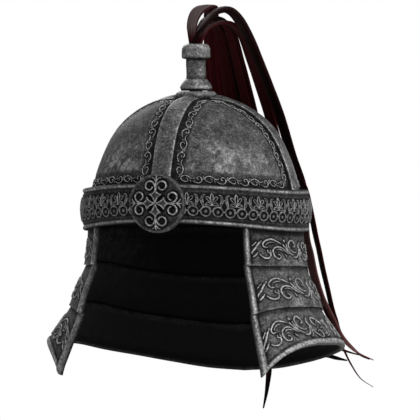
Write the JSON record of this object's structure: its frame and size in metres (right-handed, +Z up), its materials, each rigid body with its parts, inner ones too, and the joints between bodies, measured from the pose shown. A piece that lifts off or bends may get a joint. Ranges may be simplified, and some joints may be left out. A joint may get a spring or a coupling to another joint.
{
  "type": "mongolian helmet",
  "caption": "Steppe war helmet of dark chased steel with a ribbed bowl, brow band, round front medallion, turned finial with a long hair plume and an overlapping plate neck guard.",
  "frame": {"origin": "on the bowl's axis at the middle height of the brow band, where the helmet sits round a head", "axes": "+Z up, the face looks along -Y, +X to the wearer's left"},
  "size_m": [0.3092, 0.293, 0.4216],
  "materials": {
    "bowl_steel": "worn dark forged steel, mottled and pitted",
    "rib_steel": "worn dark steel with brighter edges",
    "chased_steel": "chased steel, dark in the recesses",
    "socket_steel": "turned steel, satin and worn",
    "lame_steel": "worn dark steel with chased scrolls",
    "dyed_hair": "long horse hair dyed dark red, in locks"
  },
  "bodies": {
    "root": {"bowl_plate_front_left": "bowl_steel", "bowl_plate_front_right": "bowl_steel", "bowl_plate_back_left": "bowl_steel", "bowl_plate_back_right": "bowl_steel", "rib_front": "rib_steel", "rib_left": "rib_steel", "rib_back": "rib_steel", "rib_right": "rib_steel", "brow_band": "chased_steel", "medallion": "chased_steel", "base_ring": "socket_steel", "plume_socket": "socket_steel", "plume": "dyed_hair", "lame_upper": "lame_steel", "lame_middle": "lame_steel", "lame_lower": "lame_steel"}
  },
  "joints": []
}
